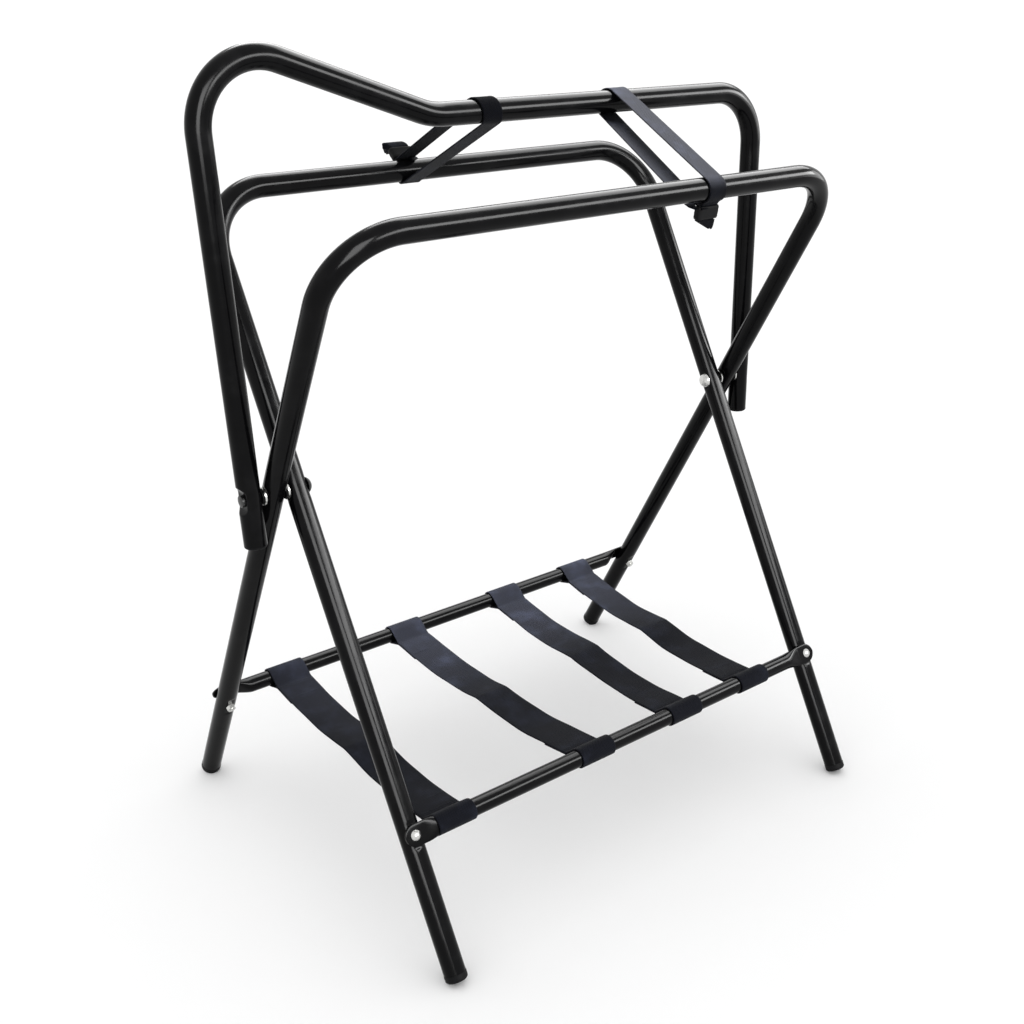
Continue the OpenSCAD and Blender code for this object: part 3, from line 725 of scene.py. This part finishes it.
def add_stitches(name, strip, rows):
    """Object of all the stitches of a strip."""
    grids = np.moveaxis(stitch_rows(strip, rows), 2, 0)
    step, faces = grids[0, ..., 0].size, grid_faces(grids[0])
    every = [[corner + k * step for corner in face] for k in range(len(grids)) for face in faces]
    return add_mesh(name, grids, every, "thread")


# Finishes


def operation(name, swapped=False):
    """A method that adds a Math node on a value and another one, which is first if swapped."""
    if swapped:
        return lambda value, other: value.math(name, other, value)
    return lambda value, other: value.math(name, value, other)


class Value:
    """A socket's value in a material: arithmetic on it adds Math nodes."""

    def __init__(self, finish, socket):
        self.finish, self.socket = finish, socket

    def math(self, name, *values):
        """The result of a Math node on these values."""
        return self.finish.node("ShaderNodeMath", {"operation": name}, dict(enumerate(values)))

    __add__, __radd__ = operation("ADD"), operation("ADD", True)
    __mul__, __rmul__ = operation("MULTIPLY"), operation("MULTIPLY", True)
    __sub__, __truediv__ = operation("SUBTRACT"), operation("DIVIDE")
    __pow__, __mod__ = operation("POWER"), operation("FLOORED_MODULO")

    def sine(self):
        """Sine of the value in radians."""
        return self.math("SINE", self)

    def floor(self):
        """Whole part of the value."""
        return self.math("FLOOR", self)

    def ease(self, low, high):
        """Smooth step from 0 at low to 1 at high."""
        sockets = {"Value": self, "From Min": low, "From Max": high}
        return self.finish.node("ShaderNodeMapRange", {"interpolation_type": "SMOOTHSTEP"}, sockets)


class Finish:
    """One procedural material on a Principled shader."""

    def __init__(self, name):
        material = bpy.data.materials.new(name)
        material.use_nodes = True
        self.tree = material.node_tree
        self.shader = self.tree.nodes["Principled BSDF"]

    def node(self, kind, settings, sockets, output=0):
        """Adds a node: its type, its settings, then the values or links of its sockets."""
        made = self.tree.nodes.new(kind)
        for name, value in settings.items():
            setattr(made, name, value)
        for name, value in sockets.items():
            self.link(made.inputs[name], value)
        return Value(self, made.outputs[output])

    def link(self, socket, value):
        """Links a socket to a value of the tree, or sets it to a constant."""
        if isinstance(value, Value):
            self.tree.links.new(value.socket, socket)
        else:
            socket.default_value = value

    def feed(self, **sockets):
        """Sets or links sockets of the shader, named with underscores for spaces."""
        for name, value in sockets.items():
            self.link(self.shader.inputs[name.replace("_", " ")], value)

    def webbing_place(self):
        """Distance along a webbing strip and across it, from its map."""
        place = self.node("ShaderNodeUVMap", {"uv_map": "webbing"}, {})
        return [self.node("ShaderNodeSeparateXYZ", {}, {"Vector": place}, axis) for axis in "XY"]

    def noise(self, scale, detail=2.0, roughness=0.5):
        """Cloudy noise from 0 to 1 with that many features in a metre of the object."""
        place = self.node("ShaderNodeTexCoord", {}, {}, "Object")
        sockets = {"Vector": place, "Scale": scale, "Detail": detail, "Roughness": roughness}
        return self.node("ShaderNodeTexNoise", {}, sockets, "Fac")

    def mix(self, amount, first, second):
        """Colour from the first at 0 to the second at 1; colours are three numbers or values."""
        whole = lambda c: c if isinstance(c, Value) else (*c, 1.0)
        sockets = {0: amount, 6: whole(first), 7: whole(second)}
        return self.node("ShaderNodeMix", {"data_type": "RGBA"}, sockets, 2)

    def bump(self, height, strength, distance):
        """Normal of a surface raised by a height from 0 to 1 times a distance."""
        sockets = {"Height": height, "Strength": strength, "Distance": distance}
        return self.node("ShaderNodeBump", {}, sockets)


def enamel_finish(finish, colours):
    """Gloss black enamel: a shallow orange-peel ripple, an uneven dust film and a few dull rubs."""
    dust = finish.noise(38, 5, 0.6).ease(0.42, 0.78)
    rub = finish.noise(11, 3, 0.7).ease(0.62, 0.80)
    peel = finish.noise(420, 2)
    finish.feed(
        IOR=1.18,
        Base_Color=finish.mix(dust * 0.5 + rub * 0.3, colours.enamel, colours.enamel_dust),
        Roughness=0.15 + dust * 0.09 + rub * 0.06,
        Normal=finish.bump(peel, 0.035, 0.0004),
    )


def webbing_finish(finish, colours):
    """Black webbing: rows of flat yarns, each row half a yarn out of step with the next, with
    painted shade darkening the gaps between the yarns, and rubbed lighter places."""
    along, across = finish.webbing_place()
    row = across / ROW_PITCH
    step = (row.floor() % 2) * 0.5
    yarn = ((along / YARN_PITCH + step) * (2 * math.pi)).sine() * 0.5 + 0.5
    ridge = ((row % 1.0) * math.pi).sine()
    height = (ridge**0.6) * (0.35 + yarn * 0.65)
    fuzz = finish.noise(1900, 2)
    rubbed = finish.noise(26, 4, 0.62).ease(0.45, 0.80)
    # Painted shade: the lower the weave height, the more the yarn colour is mixed towards the
    # darker gap colour
    base = finish.mix(height.ease(0.1, 0.85), colours.painted_gap_shade, colours.yarn)
    finish.feed(
        IOR=1.15,
        Sheen_Weight=0.03,
        Sheen_Roughness=0.4,
        Base_Color=finish.mix(rubbed * (0.3 + 0.6 * height), base, colours.yarn_worn),
        Roughness=0.62 + fuzz * 0.22 - height * 0.08,
        Normal=finish.bump(height + fuzz * 0.2, 0.75, 0.0005),
    )


def thread_finish(finish, colours):
    """Black sewing thread with fine fibres and a low gloss."""
    fibre = finish.noise(2600, 1)
    finish.feed(
        IOR=1.2,
        Base_Color=finish.mix(fibre * 0.6, colours.thread, colours.yarn_worn),
        Roughness=0.38 + fibre * 0.2,
        Normal=finish.bump(fibre, 0.5, 0.0002),
    )


def plastic_finish(finish, colours):
    """Moulded black plastic: a fine grain and scuffs that show lighter."""
    grain = finish.noise(1500, 2)
    scuff = finish.noise(90, 5, 0.7).ease(0.55, 0.82)
    finish.feed(
        IOR=1.2,
        Base_Color=finish.mix(scuff * 0.25, colours.plastic, colours.yarn_worn),
        Roughness=0.42 + grain * 0.16 + scuff * 0.12,
        Normal=finish.bump(grain, 0.35, 0.0002),
    )


def oxide_finish(finish, colours):
    """Blackened steel: satin, with small brighter specks where the oxide has rubbed thin."""
    speck = finish.noise(420, 4, 0.65)
    thin = speck.ease(0.60, 0.78)
    finish.feed(
        IOR=1.6,
        Base_Color=finish.mix(thin, colours.oxide, colours.zinc_dark),
        Metallic=0.35 + thin * 0.5,
        Roughness=0.30 + speck * 0.18,
        Normal=finish.bump(speck, 0.2, 0.0002),
    )


def zinc_finish(finish, colours):
    """Bright zinc plate: soft mottled grains and small dull spots."""
    grain = finish.noise(300, 4, 0.6)
    spot = finish.noise(750, 3, 0.7).ease(0.58, 0.75)
    finish.feed(
        Metallic=1.0,
        Base_Color=finish.mix(grain * 0.5 + spot * 0.4, colours.zinc, colours.zinc_dark),
        Roughness=0.20 + grain * 0.14 + spot * 0.12,
        Normal=finish.bump(grain, 0.12, 0.0002),
    )


def floor_finish(finish, colours):
    """Pale matte floor with hardly visible clouds."""
    cloud = finish.noise(3, 2)
    pale = colours.floor
    finish.feed(
        IOR=1.3,
        Base_Color=finish.mix(cloud * 0.3, pale, tuple(0.97 * c for c in pale)),
        Roughness=0.7 + cloud * 0.1,
    )


FINISH_OF_SLOT = {
    "black_paint": enamel_finish,
    "webbing": webbing_finish,
    "plastic": plastic_finish,
    "black_oxide": oxide_finish,
    "zinc": zinc_finish,
    "thread": thread_finish,
    "floor": floor_finish,
}


def finish_for(slot):
    """The material of a slot, made the first time that it is asked for."""
    name = "rack_" + slot
    if name not in bpy.data.materials:
        FINISH_OF_SLOT[slot](Finish(name), bpy.context.scene.rack_finishes)
    return bpy.data.materials[name]


# Operators


class RACK_OT_stage(Operator):
    """Pale floor, soft studio lights and the camera"""

    bl_idname = "rack.stage"
    bl_label = "Studio stage"

    def light(self, name, place, target, size, power, lit, spread):
        """A rectangular area light that looks at a target and shines on a collection alone, so that
        the floor stays evenly pale. The spread of its beam is in degrees."""
        lamp = bpy.data.lights.new(name, "AREA")
        lamp.shape, lamp.energy, lamp.spread = "RECTANGLE", power, math.radians(spread)
        lamp.size, lamp.size_y = size
        body = add_object(name, lamp)
        body.location = place
        body.rotation_euler = (Vector(target) - Vector(place)).to_track_quat("-Z", "Y").to_euler()
        body.light_linking.receiver_collection = lit

    def lit_pieces(self, name, start, *slots):
        """A collection of pieces, by the start of their names and the slots of their finishes."""
        lit = bpy.data.collections.new(name)
        finishes = {finish_for(slot) for slot in slots}
        for piece in bpy.context.scene.objects:
            wanted = piece.type == "MESH" and piece.name.startswith(start)
            if wanted and finishes & set(piece.data.materials):
                lit.objects.link(piece)
        return lit

    def camera(self, stage):
        """Camera turned by its heading, pitch and roll."""
        quarter = math.pi / 2
        turned = (
            Matrix.Rotation(stage.heading - quarter, 4, "Z")
            @ Matrix.Rotation(stage.pitch + quarter, 4, "X")
            @ Matrix.Rotation(stage.roll, 4, "Z")
        )
        lens = bpy.data.cameras.new("camera")
        lens.lens, lens.sensor_width = stage.lens, SENSOR_WIDTH
        lens.shift_x, lens.shift_y = stage.shift_x, stage.shift_y
        eye = add_object("camera", lens)
        eye.matrix_world = Matrix.Translation(stage.eye) @ turned
        bpy.context.scene.camera = eye

    def floor(self):
        """A flat square floor round the rack."""
        far = FLOOR_REACH
        corners = [(-far, -far, 0), (far, -far, 0), (far, far, 0), (-far, far, 0)]
        mesh = bpy.data.meshes.new("floor")
        mesh.from_pydata(corners, [], [(0, 1, 2, 3)])
        mesh.materials.append(finish_for("floor"))
        floor = add_object("floor", mesh)

    def execute(self, context):
        stage = context.scene.rack_stage
        self.floor()
        lit = {name: self.lit_pieces(f"{name}_pieces", *kind) for name, kind in LIT_GROUPS.items()}
        lit["small"].children.link(lit["shelf"])
        for name, (place, target, size, group, spread) in LIGHTS.items():
            power = getattr(stage, f"{name}_power")
            self.light(f"{name}_light", place, target, size, power, lit[group], spread)
        world = bpy.data.worlds.new("studio")
        world.use_nodes = True
        sky = world.node_tree.nodes["Background"]
        sky.inputs["Color"].default_value = (1, 1, 1, 1)
        sky.inputs["Strength"].default_value = stage.sky
        context.scene.world = world
        context.scene.view_settings.view_transform = "Standard"
        self.camera(stage)
        return {"FINISHED"}


class RACK_OT_fittings(Operator):
    """Finishes of the CAD solids, of which the caps, bolts, nuts and washers stay in view"""

    bl_idname = "rack.fittings"
    bl_label = "Fittings"

    def execute(self, context):
        for part in frame["record"]["subparts"]:
            node = frame["nodes"][part["node"]]
            node.data.materials.clear()
            node.data.materials.append(finish_for(part["material_slot"]))
        return {"FINISHED"}


class RACK_OT_tubes(Operator):
    """The two leg frames and the spine as bent tubes with pressed seats"""

    bl_idname = "rack.tubes"
    bl_label = "Frames and spine"

    def execute(self, context):
        sizes = context.scene.rack_sizes
        outer = leg_frame_rings(sizes, sizes.outer_x, 1)
        inner = leg_frame_rings(sizes, sizes.inner_x, -1)
        add_tube("outer_frame", "outer_leg_frame", "outer", outer)
        add_tube("inner_frame", "inner_leg_frame", "inner", inner)
        add_tube("spine", "spine_tube", "spine", spine_rings(sizes))
        return {"FINISHED"}


class RACK_OT_rails(Operator):
    """The two shelf rails with their crushed ends"""

    bl_idname = "rack.rails"
    bl_label = "Shelf rails"

    def execute(self, context):
        sizes = context.scene.rack_sizes
        rear = rail_rings(sizes, sizes.outer_x, 1)
        front = rail_rings(sizes, sizes.inner_x, -1)
        add_tube("shelf_rail_rear", "rear_rail", "outer", rear)
        add_tube("shelf_rail_front", "front_rail", "inner", front)
        return {"FINISHED"}


class RACK_OT_shelf_straps(Operator):
    """The four shelf straps, each in two halves that meet at the fold crease, with their seams"""

    bl_idname = "rack.shelf_straps"
    bl_label = "Shelf straps"

    def seam_rows(self, strip, sizes):
        """Distances of the stitch rows beside the seam and the end, on the band and the flap."""
        band = int(seam_half(sizes) / strip.along[-1] * len(strip.along) * 1.1)
        seam = strip.along[np.argmin(np.abs(np.abs(strip.path[:band, 1]) - seam_half(sizes)))]
        end, back = strip.along[-1], sizes.sewn_back
        top = [seam - NEAR_ROW, seam - FAR_ROW, seam - back + END_ROW]
        flap = [end - back + NEAR_ROW, end - back + FAR_ROW, end - END_ROW]
        return top + flap

    def execute(self, context):
        sizes = context.scene.rack_sizes
        halves = (("front", -1, "inner"), ("rear", 1, "outer"))
        for number, (node, ends) in enumerate(SHELF_STRAPS.items(), 1):
            for part, side, body in halves:
                strip = shelf_half(sizes, ends, side)
                rings, uv = strip.rings(shelf_wave(strip, sizes, number))
                name = f"{node}_{part}"
                band = add_piece(name, node, rings, "webbing", uv)
                seam = add_stitches(name + "_seam", strip, self.seam_rows(strip, sizes))
                for piece in (band, seam):
                    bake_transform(piece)
        return {"FINISHED"}


class RACK_OT_tie_straps(Operator):
    """The two tie straps that hold the spine between the top bars, and their sliders"""

    bl_idname = "rack.tie_straps"
    bl_label = "Tie straps"

    def execute(self, context):
        sizes = context.scene.rack_sizes
        for part, side, body in (("rear", 1, "inner"), ("front", -1, "outer")):
            x, tail, turn, *curl = (
                getattr(sizes, f"{part}_{kind}")
                for kind in ("tie_x", "tail", "tail_angle", "swing", "droop")
            )
            skew = TIE_SKEW[part]
            strip = tie_strip(sizes, side, x, tail, turn, TIE_SLACK[part], skew)
            rings, uv = strip.rings(flats=11)
            rings = swing_tail(rings, sizes, side, x + skew[4], tail, turn, *curl)
            band = add_piece(f"tie_{part}", f"{part}_tie_strap", rings, "webbing", uv)
            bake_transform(band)
            rings = slider_rings(sizes, side, x + skew[4], turn)
            slider = add_piece(f"slider_{part}", f"{part}_slider", rings, "plastic", loop=True)
            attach(slider, body)
        return {"FINISHED"}


class RACK_PT_panel(Panel):
    """Lists the steps that dress the rack"""

    bl_idname = "RACK_PT_panel"
    bl_label = "Saddle rack"
    bl_space_type = "VIEW_3D"
    bl_region_type = "UI"
    bl_category = "Saddle rack"

    def draw(self, context):
        for step in STEPS:
            self.layout.operator(step.bl_idname)


STEPS = (
    RACK_OT_fittings,
    RACK_OT_tubes,
    RACK_OT_rails,
    RACK_OT_shelf_straps,
    RACK_OT_tie_straps,
    RACK_OT_stage,
)
GROUPS = {"rack_sizes": RackSizes, "rack_finishes": RackFinishes, "rack_stage": RackStage}
CLASSES = (*GROUPS.values(), *STEPS, RACK_PT_panel)


def register():
    """Registers the classes and puts the property groups on the scene."""
    for cls in CLASSES:
        bpy.utils.register_class(cls)
    for name, group in GROUPS.items():
        setattr(bpy.types.Scene, name, PointerProperty(type=group))


def unregister():
    """Takes the property groups and classes away again."""
    for name in GROUPS:
        delattr(bpy.types.Scene, name)
    for cls in reversed(CLASSES):
        bpy.utils.unregister_class(cls)


def main():
    register()
    for step in STEPS:
        group, name = step.bl_idname.split(".")
        getattr(getattr(bpy.ops, group), name)()


if __name__ == "__main__":
    main()
